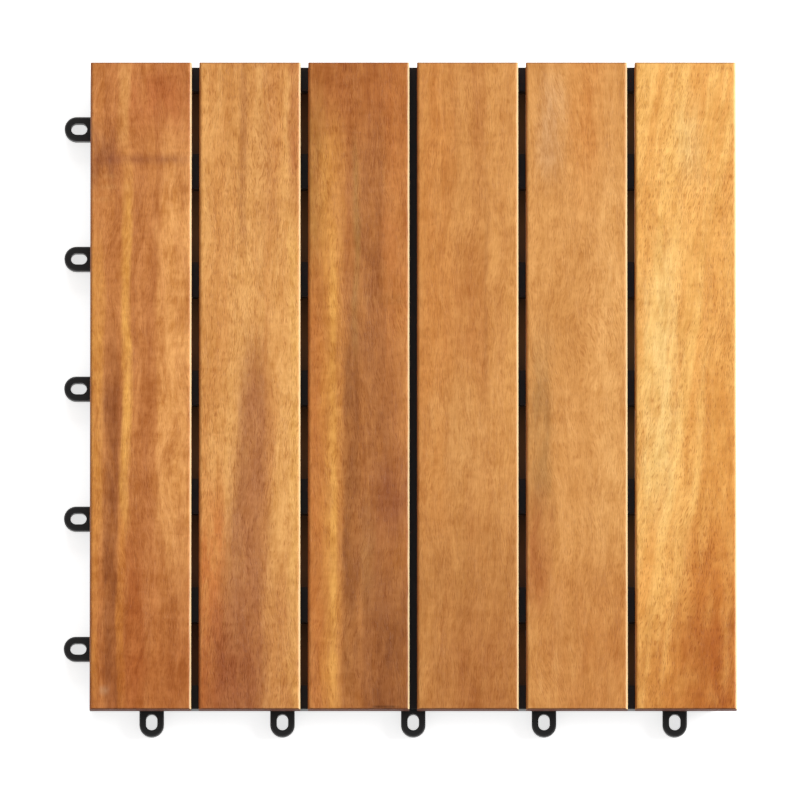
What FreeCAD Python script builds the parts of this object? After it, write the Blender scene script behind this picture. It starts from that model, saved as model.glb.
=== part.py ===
import FreeCAD, Part
import math
import os
import Sketcher

# Interlocking deck tile: six hardwood slats screwed to one moulded grid base.
# Frame: the origin is the middle of the tile on the ground, X runs across the slats, Y along them, Z up.
# Closed loops stand out at -X and -Y. The pegs that drop into a neighbour's loops hang at +X and +Y.
# Lengths are millimetres.

SIZES = [
    ("slat_count", 6, "slats side by side"),
    ("slat_length", 298, "length of a slat"),
    ("slat_width", 46.5, "width of a slat"),
    ("slat_gap", 3.5, "drainage gap between two slats, and over the joint to the next tile"),
    ("slat_thickness", 12, "thickness of a slat"),
    ("slat_side_round", 1.5, "rounding of a slat's long top edges"),
    ("slat_end_bevel", 0.5, "bevel of a slat's top edges at its ends"),
    ("end_gap", 2, "gap between slat ends over the joint to the next tile"),
    ("end_overhang", 1, "how far slat ends reach past the base"),
    ("side_overhang", 0.25, "how far the outer slats reach past the base"),
    ("base_height", 12, "height of the base, ground to slats"),
    ("ground_gap", 1, "walls and loops stop this far above the ground, so water runs off"),
    ("skin", 2, "top skin of the bars and of the looped edges"),
    ("wall", 1.8, "wall of the bars and edges"),
    ("bar_width", 16, "width of the cross bars and of the middle bar"),
    ("bars_each_side", 2, "cross bars on each side of the middle one, the outermost with the screws"),
    ("foot_side", 10, "side of a square foot"),
    ("loop_count", 5, "loops or pegs along one side"),
    ("loop_reach", 10.4, "loop tip beyond the joint line"),
    ("loop_tip_wall", 3, "loop wall at the tip"),
    ("loop_side_wall", 3, "loop wall beside the slot"),
    ("loop_height", 6.5, "height of a loop"),
    ("loop_bevel", 0.6, "bevel of a loop's outer top edge"),
    ("slot_length", 7.4, "length of the slot in a loop"),
    ("loop_headroom", 0.5, "clearance over a loop, under the raised edge"),
    ("loop_end_play", 0.6, "clearance before a loop's tip, behind the pegs"),
    ("peg_diameter", 4, "diameter of a peg"),
    ("peg_side_play", 0.6, "clearance on each side of a peg in the slot"),
    ("peg_tip_play", 0.4, "clearance between a peg and the tip wall of its loop"),
    ("peg_lift", 1.2, "peg tip above the ground"),
    ("screw_diameter", 3.5, "outer diameter of a screw's shank"),
    ("head_diameter", 6.5, "diameter of a screw head"),
    ("head_height", 2.4, "height of a screw head"),
    ("screw_cover", 3, "wood left over a screw's end"),
    ("pilot_spare", 0.5, "pilot hole beyond a screw's end"),
    ("hole_play", 0.2, "clearance around a shank in the base"),
]

doc = FreeCAD.newDocument("DeckTile")
sheet = doc.addObject("Spreadsheet::Sheet", "Sizes")
for row, (alias, number, note) in enumerate(SIZES, 1):
    sheet.set(f"A{row}", note)
    sheet.set(f"B{row}", str(number))
    sheet.setAlias(f"B{row}", alias)
doc.recompute()

# Places that follow from the sizes, as expressions over the sheet.
SLAT_PITCH = "(Sizes.slat_width + Sizes.slat_gap)"
FIRST_SLAT = f"(-(Sizes.slat_count - 1) / 2 * {SLAT_PITCH})"
# Joint lines, half way between this tile's slats and the next tile's.
JOINT_X = f"(Sizes.slat_count * {SLAT_PITCH} / 2)"
JOINT_Y = "((Sizes.slat_length + Sizes.end_gap) / 2)"
# Outer sides of the base.
SIDE_X = f"({JOINT_X} - Sizes.slat_gap / 2 - Sizes.side_overhang)"
SIDE_Y = "(Sizes.slat_length / 2 - Sizes.end_overhang)"
# The edges' inner walls stand clear of the loops that a neighbour pushes in.
CLEAR_X = f"({JOINT_X} - Sizes.loop_reach - Sizes.loop_end_play)"
CLEAR_Y = f"({JOINT_Y} - Sizes.loop_reach - Sizes.loop_end_play)"
INNER_X = f"({CLEAR_X} - Sizes.wall)"
INNER_Y = f"({CLEAR_Y} - Sizes.wall)"
BAR_PITCH = f"({JOINT_Y} / (Sizes.bars_each_side + 1))"
WALL_HEIGHT = "(Sizes.base_height - Sizes.ground_gap)"
HOLLOW_DEPTH = "(Sizes.base_height - Sizes.skin - Sizes.ground_gap)"
# Underside of the raised edges, where the pegs start.
EDGE_UNDERSIDE = "(Sizes.ground_gap + Sizes.loop_height + Sizes.loop_headroom)"
SLOT_WIDTH = "(Sizes.peg_diameter + 2 * Sizes.peg_side_play)"
SLOT_FAR = "(Sizes.loop_reach - Sizes.loop_tip_wall)"
LOOP_WIDTH = f"({SLOT_WIDTH} + 2 * Sizes.loop_side_wall)"
PEG_INSET = f"({SLOT_FAR} - Sizes.peg_tip_play - Sizes.peg_diameter / 2)"
SCREW_ROW = f"(Sizes.bars_each_side * {BAR_PITCH})"
# Screw heads bear on the underside of the skin, inside the bars.
SCREW_SEAT = "(Sizes.base_height - Sizes.skin)"
SCREW_BITE = "(Sizes.slat_thickness - Sizes.screw_cover)"


def size(text):
    """Value of an expression over the sheet."""
    return float(sheet.evalExpression(text))


def places(count, pitch):
    """Middles of an even row about the tile's middle, as expressions."""
    number = int(size(count))
    return [f"(({index} - ({count} - 1) / 2) * {pitch})" for index in range(number)]


def origin_part(body, role):
    """A body's own origin plane or axis."""
    return next(part for part in body.Origin.OriginFeatures if part.Role == role)


def add_sketch(body, name, role, height="0"):
    """Sketch on an origin plane of its body, lifted along the plane's normal."""
    sketch = body.newObject("Sketcher::SketchObject", name)
    sketch.AttachmentSupport = (origin_part(body, role), "")
    sketch.MapMode = "FlatFace"
    sketch.setExpression("AttachmentOffset.Base.z", height)
    return sketch


def bind(sketch, kind, arguments, text):
    """Dimension in a sketch that follows an expression."""
    index = sketch.addConstraint(Sketcher.Constraint(kind, *arguments, size(text)))
    sketch.setExpression(f"Constraints[{index}]", text)


def bind_point(sketch, edge, end, x, y):
    """Holds an end of an edge at its distances from the sketch's origin."""
    bind(sketch, "DistanceX", (-1, 1, edge, end), x)
    bind(sketch, "DistanceY", (-1, 1, edge, end), y)


def polygon(sketch, points):
    """Closed outline of straight edges."""
    corners = [FreeCAD.Vector(size(x), size(y), 0) for x, y in points]
    turned = corners[1:] + corners[:1]
    edges = [sketch.addGeometry(Part.LineSegment(a, b)) for a, b in zip(corners, turned)]
    for edge, following in zip(edges, edges[1:] + edges[:1]):
        sketch.addConstraint(Sketcher.Constraint("Coincident", edge, 2, following, 1))
    for edge, (x, y) in zip(edges, points):
        bind_point(sketch, edge, 1, x, y)


def rectangle(sketch, x_low, x_high, y_low, y_high):
    """Upright rectangle between four distances."""
    polygon(sketch, [(x_low, y_low), (x_high, y_low), (x_high, y_high), (x_low, y_high)])


def circle(sketch, x, y, diameter):
    """Circle about a point."""
    centre = FreeCAD.Vector(size(x), size(y), 0)
    edge = sketch.addGeometry(Part.Circle(centre, FreeCAD.Vector(0, 0, 1), size(diameter) / 2))
    bind_point(sketch, edge, 3, x, y)
    bind(sketch, "Diameter", (edge,), diameter)


def round_end(sketch, low, high, end, centre, heading):
    """Half circle that joins the ends of two parallel edges, bulging along a heading."""
    middle = FreeCAD.Vector(size(centre[0]), size(centre[1]), 0)
    radius = sketch.getPoint(low, end).distanceToPoint(sketch.getPoint(high, end)) / 2
    ring = Part.Circle(middle, FreeCAD.Vector(0, 0, 1), radius)
    start = math.radians(heading - 90)
    arc = sketch.addGeometry(Part.ArcOfCircle(ring, start, start + math.pi))
    nearest = min((low, high), key=lambda edge: sketch.getPoint(edge, end).distanceToPoint(
        sketch.getPoint(arc, 1)))
    other = high if nearest == low else low
    sketch.addConstraint(Sketcher.Constraint("Coincident", arc, 1, nearest, end))
    sketch.addConstraint(Sketcher.Constraint("Coincident", arc, 2, other, end))
    along = 0 if heading % 180 == 0 else 1
    bind(sketch, ("DistanceX", "DistanceY")[along], (-1, 1, arc, 3), centre[along])


def pad(body, name, sketch, length):
    """Adds material from a sketch, along its normal."""
    feature = body.newObject("PartDesign::Pad", name)
    feature.Profile = sketch
    feature.setExpression("Length", length)
    return feature


def pocket(body, name, sketch, depth):
    """Cuts from a sketch, along its normal."""
    feature = body.newObject("PartDesign::Pocket", name)
    feature.Profile = sketch
    feature.Reversed = True
    feature.setExpression("Length", depth)
    return feature


def mirrored(body, name):
    """Mirror image over the tile's middle line, from end to end of the slats."""
    mirror = body.newObject("PartDesign::Mirrored", name)
    mirror.MirrorPlane = (origin_part(body, "XZ_Plane"), [""])
    return mirror


# Directions out of the tile, as (u outward, v along the side) turned into sketch X and Y.
def west(u, v):
    return f"(-{u})", v


def south(u, v):
    return v, f"(-{u})"


def east(u, v):
    return u, v


def north(u, v):
    return v, u


def make_slat(number):
    """One slat: a plank with softened top edges and pilot holes for its screws from below."""
    body = doc.addObject("PartDesign::Body", f"slat_{number}")
    body.Label = f"slat_{number}"
    body.setExpression("Placement.Base.x", f"{FIRST_SLAT} + {number - 1} * {SLAT_PITCH}")
    body.setExpression("Placement.Base.z", "Sizes.base_height")

    section = add_sketch(body, f"slat_{number}_section", "XZ_Plane")
    half = "Sizes.slat_width / 2"
    rectangle(section, f"-{half}", half, "0", "Sizes.slat_thickness")
    plank = pad(body, f"slat_{number}_plank", section, "Sizes.slat_length")
    plank.Midplane = True
    doc.recompute()

    top = size("Sizes.slat_thickness")
    ends = []
    for index, edge in enumerate(plank.Shape.Edges, 1):
        if abs(edge.BoundBox.ZMin - top) < 0.001 and edge.BoundBox.YLength < 0.001:
            ends.append(f"Edge{index}")
    end_bevels = body.newObject("PartDesign::Chamfer", f"slat_{number}_end_bevels")
    end_bevels.Base = (plank, ends)
    end_bevels.setExpression("Size", "Sizes.slat_end_bevel")
    doc.recompute()

    sides = []
    for index, edge in enumerate(end_bevels.Shape.Edges, 1):
        if abs(edge.BoundBox.ZMin - top) < 0.001 and edge.BoundBox.XLength < 0.001:
            sides.append(f"Edge{index}")
    side_rounds = body.newObject("PartDesign::Fillet", f"slat_{number}_side_rounds")
    side_rounds.Base = (end_bevels, sides)
    side_rounds.setExpression("Radius", "Sizes.slat_side_round")

    mark = add_sketch(body, f"slat_{number}_pilot_mark", "XY_Plane")
    circle(mark, "0", SCREW_ROW, "Sizes.screw_diameter")
    pilot = pocket(body, f"slat_{number}_pilot", mark, f"{SCREW_BITE} + Sizes.pilot_spare")
    other = mirrored(body, f"slat_{number}_other_pilot")
    other.Originals = [pilot]
    body.Tip = other


def make_base():
    """The moulded base: hollow edges, hollow bars, loops, pegs and feet."""
    body = doc.addObject("PartDesign::Body", "base_grid")
    body.Label = "base_grid"

    # Edge frame all round.
    outline = add_sketch(body, "edge_outline", "XY_Plane", "Sizes.ground_gap")
    rectangle(outline, f"-{SIDE_X}", SIDE_X, f"-{SIDE_Y}", SIDE_Y)
    rectangle(outline, f"-{INNER_X}", INNER_X, f"-{INNER_Y}", INNER_Y)
    pad(body, "edge_frame", outline, WALL_HEIGHT)

    # The pegged edges are raised, so that a neighbour's loops pass under them.
    raised = add_sketch(body, "raised_edges", "XY_Plane", "Sizes.ground_gap")
    polygon(raised, [
        (f"-{SIDE_X}", CLEAR_Y),
        (CLEAR_X, CLEAR_Y),
        (CLEAR_X, f"-{SIDE_Y}"),
        (SIDE_X, f"-{SIDE_Y}"),
        (SIDE_X, SIDE_Y),
        (f"-{SIDE_X}", SIDE_Y),
    ])
    pocket(body, "room_for_loops", raised, f"{EDGE_UNDERSIDE} - Sizes.ground_gap")

    # The looped edges are hollow from below.
    hollow = add_sketch(body, "looped_edges_hollow", "XY_Plane", "Sizes.ground_gap")
    outer_x = f"(-({SIDE_X} - Sizes.wall))"
    outer_y = f"(-({SIDE_Y} - Sizes.wall))"
    polygon(hollow, [
        (outer_x, outer_y),
        (INNER_X, outer_y),
        (INNER_X, f"-{CLEAR_Y}"),
        (f"-{CLEAR_X}", f"-{CLEAR_Y}"),
        (f"-{CLEAR_X}", INNER_Y),
        (outer_x, INNER_Y),
    ])
    pocket(body, "edge_hollow", hollow, HOLLOW_DEPTH)

    make_loops(body, "west", west, 180, (JOINT_X, SIDE_X, CLEAR_X), JOINT_Y)
    make_loops(body, "south", south, 270, (JOINT_Y, SIDE_Y, CLEAR_Y), JOINT_X)
    make_pegs(body, "east", east, JOINT_X, JOINT_Y)
    make_pegs(body, "north", north, JOINT_Y, JOINT_X)

    # Cross bars, and a middle bar along the slats, under the gap between the middle two.
    bar_places = places("(2 * Sizes.bars_each_side + 1)", BAR_PITCH)
    half_bar = "Sizes.bar_width / 2"
    bars = add_sketch(body, "bar_outlines", "XY_Plane", "Sizes.ground_gap")
    for y in bar_places:
        rectangle(bars, f"-{CLEAR_X}", CLEAR_X, f"{y} - {half_bar}", f"{y} + {half_bar}")
    pad(body, "cross_bars", bars, WALL_HEIGHT)
    middle = add_sketch(body, "middle_bar_outline", "XY_Plane", "Sizes.ground_gap")
    rectangle(middle, f"-{half_bar}", half_bar, f"-{CLEAR_Y}", CLEAR_Y)
    pad(body, "middle_bar", middle, WALL_HEIGHT)

    # The bars are channels, open below from end to end.
    half_channel = f"({half_bar} - Sizes.wall)"
    channels = add_sketch(body, "bar_channel_outlines", "XY_Plane", "Sizes.ground_gap")
    for y in bar_places:
        rectangle(channels, f"-{INNER_X}", INNER_X, f"{y} - {half_channel}", f"{y} + {half_channel}")
    pocket(body, "bar_channels", channels, HOLLOW_DEPTH)
    trough = add_sketch(body, "middle_channel_outline", "XY_Plane", "Sizes.ground_gap")
    rectangle(trough, f"-{half_channel}", half_channel, f"-{INNER_Y}", INNER_Y)
    pocket(body, "middle_channel", trough, HOLLOW_DEPTH)

    # Square feet inside the bars, under each gap between the slats.
    half_foot = "Sizes.foot_side / 2"
    gap_places = places("(Sizes.slat_count - 1)", SLAT_PITCH)
    feet = add_sketch(body, "foot_outlines", "XY_Plane")
    for x in gap_places:
        for y in bar_places:
            rectangle(feet, f"{x} - {half_foot}", f"{x} + {half_foot}", f"{y} - {half_foot}", f"{y} + {half_foot}")
    pad(body, "feet", feet, SCREW_SEAT)

    # Short feet under the inner walls, at the ends of the bars and of the gaps.
    wall_feet = add_sketch(body, "wall_foot_outlines", "XY_Plane")
    for y in bar_places:
        rectangle(wall_feet, f"-{CLEAR_X}", f"-{INNER_X}", f"{y} - {half_bar}", f"{y} + {half_bar}")
        rectangle(wall_feet, INNER_X, CLEAR_X, f"{y} - {half_bar}", f"{y} + {half_bar}")
    for x in gap_places:
        rectangle(wall_feet, f"{x} - {half_bar}", f"{x} + {half_bar}", f"-{CLEAR_Y}", f"-{INNER_Y}")
        rectangle(wall_feet, f"{x} - {half_bar}", f"{x} + {half_bar}", INNER_Y, CLEAR_Y)
    pad(body, "wall_feet", wall_feet, "Sizes.ground_gap")

    # Screw holes through the skin of the outermost bars.
    shanks = add_sketch(body, "shank_hole_outlines", "XY_Plane", SCREW_SEAT)
    for x in places("Sizes.slat_count", SLAT_PITCH):
        for y in (SCREW_ROW, f"(-{SCREW_ROW})"):
            circle(shanks, x, y, "Sizes.screw_diameter + 2 * Sizes.hole_play")
    pocket(body, "shank_holes", shanks, "Sizes.skin")


def strip_sides(sketch, place, middle, near, far, half_width):
    """The two long edges of a strip that runs outward from near to far."""
    edges = []
    for way in ("-", "+"):
        ends = [place(u, f"({middle} {way} {half_width})") for u in (near, far)]
        points = [FreeCAD.Vector(size(x), size(y), 0) for x, y in ends]
        edge = sketch.addGeometry(Part.LineSegment(*points))
        bind_point(sketch, edge, 1, *ends[0])
        bind_point(sketch, edge, 2, *ends[1])
        edges.append(edge)
    return edges


def make_loops(body, side, place, heading, distances, other_joint):
    """Row of closed loops along one side: flat rings with a slot for the neighbour's peg."""
    joint, outside, clear = distances
    loop_half = f"({LOOP_WIDTH} / 2)"
    tip_centre = f"({joint} + Sizes.loop_reach - {loop_half})"
    slot_half = f"({SLOT_WIDTH} / 2)"
    slot_far = f"({joint} + {SLOT_FAR} - {slot_half})"
    slot_near = f"({joint} + {SLOT_FAR} - Sizes.slot_length + {slot_half})"
    rings = add_sketch(body, f"{side}_loop_outlines", "XY_Plane", "Sizes.ground_gap")
    slots = add_sketch(body, f"{side}_slot_outlines", "XY_Plane", "Sizes.ground_gap")
    for middle in places("Sizes.loop_count", f"(2 * {other_joint} / Sizes.loop_count)"):
        low, high = strip_sides(rings, place, middle, clear, tip_centre, loop_half)
        back = rings.addGeometry(Part.LineSegment(rings.getPoint(low, 1), rings.getPoint(high, 1)))
        rings.addConstraint(Sketcher.Constraint("Coincident", back, 1, low, 1))
        rings.addConstraint(Sketcher.Constraint("Coincident", back, 2, high, 1))
        round_end(rings, low, high, 2, place(tip_centre, middle), heading)
        low, high = strip_sides(slots, place, middle, slot_near, slot_far, slot_half)
        round_end(slots, low, high, 2, place(slot_far, middle), heading)
        round_end(slots, low, high, 1, place(slot_near, middle), heading + 180)
    tongues = pad(body, f"{side}_loops", rings, "Sizes.loop_height")
    doc.recompute()

    top = size("Sizes.ground_gap + Sizes.loop_height")
    rims = []
    for index, edge in enumerate(tongues.Shape.Edges, 1):
        box = edge.BoundBox
        furthest = -box.XMin if side == "west" else -box.YMin
        if abs(box.ZMin - top) < 0.001 and furthest > size(outside) + 0.001:
            rims.append(f"Edge{index}")
    bevelled = body.newObject("PartDesign::Chamfer", f"{side}_loop_bevels")
    bevelled.Base = (tongues, rims)
    bevelled.setExpression("Size", "Sizes.loop_bevel")
    pocket(body, f"{side}_slots", slots, "Sizes.loop_height")


def make_pegs(body, side, place, joint, other_joint):
    """Row of round pegs that hang from a raised edge."""
    outlines = add_sketch(body, f"{side}_peg_outlines", "XY_Plane", "Sizes.peg_lift")
    for middle in places("Sizes.loop_count", f"(2 * {other_joint} / Sizes.loop_count)"):
        circle(outlines, *place(f"({joint} - {PEG_INSET})", middle), "Sizes.peg_diameter")
    pad(body, f"{side}_pegs", outlines, f"{EDGE_UNDERSIDE} - Sizes.peg_lift")


def make_screws():
    """All screws of the tile: head inside the bar, shank up through the skin into the slat."""
    body = doc.addObject("PartDesign::Body", "slat_screws")
    body.Label = "slat_screws"
    section = add_sketch(body, "screw_section", "XZ_Plane", f"-{SCREW_ROW}")
    section.setExpression("AttachmentOffset.Base.x", FIRST_SLAT)
    section.setExpression("AttachmentOffset.Base.y", SCREW_SEAT)
    head = "Sizes.head_diameter / 2"
    shank = "Sizes.screw_diameter / 2"
    length = f"(Sizes.skin + {SCREW_BITE})"
    polygon(section, [
        ("0", "-Sizes.head_height"),
        (head, "-Sizes.head_height"),
        (head, "0"),
        (shank, "0"),
        (shank, length),
        ("0", length),
    ])
    screw = body.newObject("PartDesign::Revolution", "screw")
    screw.Profile = section
    screw.ReferenceAxis = (section, ["V_Axis"])
    screw.Angle = 360

    across = body.newObject("PartDesign::LinearPattern", "one_for_each_slat")
    across.Direction = (origin_part(body, "X_Axis"), [""])
    across.Mode = "Spacing"
    across.setExpression("Offset", SLAT_PITCH)
    across.setExpression("Occurrences", "Sizes.slat_count")
    copies = body.newObject("PartDesign::MultiTransform", "screws")
    copies.Originals = [screw]
    copies.Transformations = [across, mirrored(body, "both_ends")]
    body.Tip = copies


for slat in range(1, int(size("Sizes.slat_count")) + 1):
    make_slat(slat)
make_base()
make_screws()
doc.recompute()

for item in doc.Objects:
    if "Invalid" in item.State or "Error" in item.State:
        raise RuntimeError(f"{item.Label} failed: {item.State}")
shapes = {item.Label: item.Shape for item in doc.Objects if item.TypeId == "PartDesign::Body"}
for label, shape in shapes.items():
    if shape.isNull() or not shape.isValid():
        raise RuntimeError(f"{label} has no valid shape")

os.makedirs("parts", exist_ok=True)
for label, shape in shapes.items():
    shape.exportStep(f"parts/{label}.step")
    box = shape.BoundBox
    print(label, len(shape.Solids), "solids", round(shape.Volume), "mm3",
          [round(v, 2) for v in (box.XMin, box.XMax, box.YMin, box.YMax, box.ZMin, box.ZMax)])
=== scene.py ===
# %% [markdown]
# # Interlocking deck tile
# A garden or balcony tile of 300 mm: six oiled hardwood slats on a black moulded grid. Two sides carry
# closed loops, the other two hide pegs, so tiles click together in any number. This lesson dresses the
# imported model: the slats and the base keep their solids and get timber and moulded plastic, while the
# screws are built again with domed heads, cross recesses and threads, at the same place and size.

# %% Load the model
import math

import bmesh
import bpy
from mathutils import Matrix, Vector


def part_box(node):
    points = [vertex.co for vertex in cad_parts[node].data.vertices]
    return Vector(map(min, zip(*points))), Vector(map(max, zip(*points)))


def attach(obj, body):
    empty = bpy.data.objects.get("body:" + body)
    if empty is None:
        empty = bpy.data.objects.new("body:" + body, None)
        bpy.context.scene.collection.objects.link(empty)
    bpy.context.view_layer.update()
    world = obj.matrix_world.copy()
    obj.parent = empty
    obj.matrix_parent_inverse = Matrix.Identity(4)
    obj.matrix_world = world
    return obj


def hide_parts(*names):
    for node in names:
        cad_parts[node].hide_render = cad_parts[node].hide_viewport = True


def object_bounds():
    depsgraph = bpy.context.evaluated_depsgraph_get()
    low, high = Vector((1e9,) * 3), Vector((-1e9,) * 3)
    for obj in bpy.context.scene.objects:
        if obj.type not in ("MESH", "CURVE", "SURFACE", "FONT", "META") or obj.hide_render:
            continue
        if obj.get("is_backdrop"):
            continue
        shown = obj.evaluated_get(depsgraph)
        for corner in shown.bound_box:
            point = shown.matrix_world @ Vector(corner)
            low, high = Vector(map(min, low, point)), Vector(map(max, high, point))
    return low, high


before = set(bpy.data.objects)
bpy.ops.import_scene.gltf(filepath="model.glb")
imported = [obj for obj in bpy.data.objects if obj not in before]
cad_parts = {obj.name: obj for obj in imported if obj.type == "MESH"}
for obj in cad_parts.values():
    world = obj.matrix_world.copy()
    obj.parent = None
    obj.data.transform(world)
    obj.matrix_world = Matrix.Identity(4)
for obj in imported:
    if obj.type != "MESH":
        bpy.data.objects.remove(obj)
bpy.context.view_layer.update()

# %% [markdown]
# ## Small helpers for shader nodes
# A finish made without pictures is a long chain of small sums. It could be wired by hand in the shader
# editor, but then nobody can read it back. Here each node is one short line: `add` makes any node,
# `feed` gives a socket a link or a number, and the others make the sums, blends and noises that come up
# again and again. Colours are written as read off a screen, and `paint` turns them into the linear
# form that light is worked out in.

# %% Colours, nodes and sockets
def paint(red, green, blue):
    """Colour as read off a screen, 0 to 255, in the linear form that shaders want."""
    def linear(value):
        value = value / 255
        return value / 12.92 if value <= 0.04045 else ((value + 0.055) / 1.055) ** 2.4
    return linear(red), linear(green), linear(blue), 1.0


def feed(tree, socket, value):
    """Links a socket, or sets its number or colour."""
    if isinstance(value, bpy.types.NodeSocket):
        tree.links.new(value, socket)
    else:
        socket.default_value = value


def add(tree, kind, inputs=(), **settings):
    """A node with its settings and inputs."""
    made = tree.nodes.new(kind)
    for key, value in settings.items():
        setattr(made, key, value)
    for key, value in dict(inputs).items():
        feed(tree, made.inputs[key], value)
    return made


def new_material(name):
    """Empty material with its node tree and its Principled shader."""
    made = bpy.data.materials.new(name)
    made.use_nodes = True
    return made, made.node_tree, made.node_tree.nodes["Principled BSDF"]


print("Middle grey on a screen is", round(paint(128, 128, 128)[0], 3), "of full light")

# %% Sums and blends
def calc(tree, operation, a, b=0.0, c=0.0):
    """Sum on up to three numbers."""
    return add(tree, "ShaderNodeMath", {0: a, 1: b, 2: c}, operation=operation).outputs[0]


def ease(tree, value, low, high, to_low=0.0, to_high=1.0):
    """Smooth step from low to high."""
    made = add(tree, "ShaderNodeMapRange",
               {"Value": value, "From Min": low, "From Max": high, "To Min": to_low, "To Max": to_high},
               interpolation_type="SMOOTHSTEP")
    return made.outputs["Result"]


def fall(tree, value, low, high):
    """Smooth step from one down to zero."""
    return ease(tree, value, low, high, to_low=1.0, to_high=0.0)


def swing(tree, value, reach):
    """Noise around 0.5 as a number around zero, up to half of reach to each side."""
    return calc(tree, "MULTIPLY", calc(tree, "SUBTRACT", value, 0.5), reach)


def mix(tree, share, a, b, blend="MIX"):
    """Blend of two colours."""
    made = add(tree, "ShaderNodeMix", data_type="RGBA", blend_type=blend)
    feed(tree, made.inputs[0], share)
    feed(tree, made.inputs[6], a)
    feed(tree, made.inputs[7], b)
    return made.outputs[2]


print("Sums and blends:", ", ".join(made.__name__ for made in (calc, ease, fall, swing, mix)))

# %% Coordinates and noises
MILLIMETRES = (1000.0, 1000.0, 1000.0)


def split(tree, vector):
    """X, Y and Z of a vector."""
    made = add(tree, "ShaderNodeSeparateXYZ", {0: vector})
    return made.outputs[0], made.outputs[1], made.outputs[2]


def join(tree, x, y, z):
    """Vector from three numbers."""
    return add(tree, "ShaderNodeCombineXYZ", {0: x, 1: y, 2: z}).outputs[0]


def move(tree, vector, by):
    """Coordinates moved by a vector."""
    return add(tree, "ShaderNodeVectorMath", {0: vector, 1: by}, operation="ADD").outputs[0]


def stretch(tree, vector, scale):
    """Coordinates multiplied along each axis."""
    return add(tree, "ShaderNodeVectorMath", {0: vector, 1: scale}, operation="MULTIPLY").outputs[0]


def noise(tree, vector, bumps, detail=2.0, roughness=0.5, distortion=0.0):
    """Soft noise around 0.5. Bumps says how many there are to a unit along each axis."""
    made = add(tree, "ShaderNodeTexNoise",
               {"Vector": stretch(tree, vector, bumps), "Scale": 1.0, "Detail": detail,
                "Roughness": roughness, "Distortion": distortion})
    return made.outputs["Fac"]


def in_millimetres(tree, middle=(0.0, 0.0, 0.0)):
    """Place on the object in millimetres, counted from a middle that is given in metres."""
    spot = add(tree, "ShaderNodeTexCoord").outputs["Object"]
    return stretch(tree, move(tree, spot, [-value for value in middle]), MILLIMETRES)


print("Coordinates and noises:", ", ".join(made.__name__ for made in (split, join, move, stretch, noise)))

# %% [markdown]
# ## Speckle, mottle, fibres, pores and figure
# This oiled hardwood shows several scales at once: a speckle of short cells a millimetre or two long,
# a mottle of soft patches, fine hair-like fibres, dark pores, and a silky figure that lies across the
# grain, a real pattern whose sheen is painted into the colour as light and dark bands. A photograph of
# veneer would show them too, but it repeats, and it stops at the edges. So each is a noise, stretched by
# its own amount, that runs through the whole board.
#
# They sit in one shader group, because all six slats use them, each with its own seed. A group has named
# sockets, is one node in a material, and is mended in one place. Wave makes the lines wander and Lean
# lets them climb sideways. The group works in millimetres on the board: X across, Y along, Z up.

# %% Group helpers
VALUE = "NodeSocketFloat"
VECTOR = "NodeSocketVector"


def new_group(name, inputs, outputs):
    """Empty shader group with named sockets: (name, kind, default)."""
    group = bpy.data.node_groups.new(name, "ShaderNodeTree")
    for socket_name, kind, default in inputs:
        socket = group.interface.new_socket(name=socket_name, in_out="INPUT", socket_type=kind)
        if default is not None:
            socket.default_value = default
    for socket_name in outputs:
        group.interface.new_socket(name=socket_name, in_out="OUTPUT", socket_type=VALUE)
    return group, group.nodes.new("NodeGroupInput").outputs, group.nodes.new("NodeGroupOutput").inputs


def place(tree, group, inputs=()):
    """The group's node in a tree, with its inputs fed by name."""
    return add(tree, "ShaderNodeGroup", inputs, node_tree=group).outputs


print("Group helpers:", new_group.__name__, "and", place.__name__)

# %% Grain lines that wander
# Each noise: bumps to a millimetre across, along and through the board, detail, roughness, distortion.
NOISES = {
    "sway": ((0.02, 0.012, 0.02), 1.0, 0.5, 0.0),
    "ripple": ((0.12, 0.035, 0.12), 2.0, 0.5, 0.0),
    "bands": ((0.16, 0.007, 0.16), 3.0, 0.55, 0.0),
    "mottle": ((0.17, 0.04, 0.17), 3.0, 0.55, 0.7),
    "speckle": ((0.62, 0.2, 0.62), 3.0, 0.65, 0.0),
    "fine": ((1.4, 0.06, 1.4), 2.0, 0.6, 0.0),
    "hair": ((4.5, 0.2, 4.5), 2.0, 0.5, 0.0),
    "dash": ((2.8, 0.34, 2.8), 1.0, 0.5, 0.0),
    "clump": ((0.14, 0.03, 0.14), 1.0, 0.5, 0.0),
    "figure": ((0.06, 0.16, 0.06), 3.0, 0.6, 0.6),
}
# In millimetres: how far each seed moves the noises, and how far the lines wander.
SEED_STEP = (13.7, 271.0, 5.3)
SWAY_REACH = 14.0
RIPPLE_REACH = 5.0

grain, given, result = new_group(
    "Timber grain",
    [("Board", VECTOR, None), ("Seed", VALUE, 0.0), ("Wave", VALUE, 1.0), ("Lean", VALUE, 0.0)],
    ("Bands", "Mottle", "Speckle", "Fibres", "Pores", "Figure"))
_, along, _ = split(grain, given["Board"])
seed = join(grain, *(calc(grain, "MULTIPLY", given["Seed"], step) for step in SEED_STEP))
shifted = move(grain, given["Board"], seed)
sway_reach = calc(grain, "MULTIPLY", given["Wave"], SWAY_REACH)
sway = swing(grain, noise(grain, shifted, *NOISES["sway"]), sway_reach)
ripple = swing(grain, noise(grain, shifted, *NOISES["ripple"]), RIPPLE_REACH)
climb = calc(grain, "MULTIPLY", along, given["Lean"])
aside = calc(grain, "SUBTRACT", calc(grain, "ADD", sway, ripple), climb)
swayed = move(grain, shifted, join(grain, aside, 0.0, 0.0))
print("Lines wander by up to", SWAY_REACH / 2 + RIPPLE_REACH / 2, "mm to each side")

# %% Effects of the grain
# How far from 0.5 each effect runs from nothing to full.
SPREAD = {"Bands": 0.18, "Mottle": 0.18, "Speckle": 0.22, "Fibres": 0.18, "Figure": 0.2}
CLUMPING = 0.3
PORE_RANGE = (0.68, 0.84)

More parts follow.
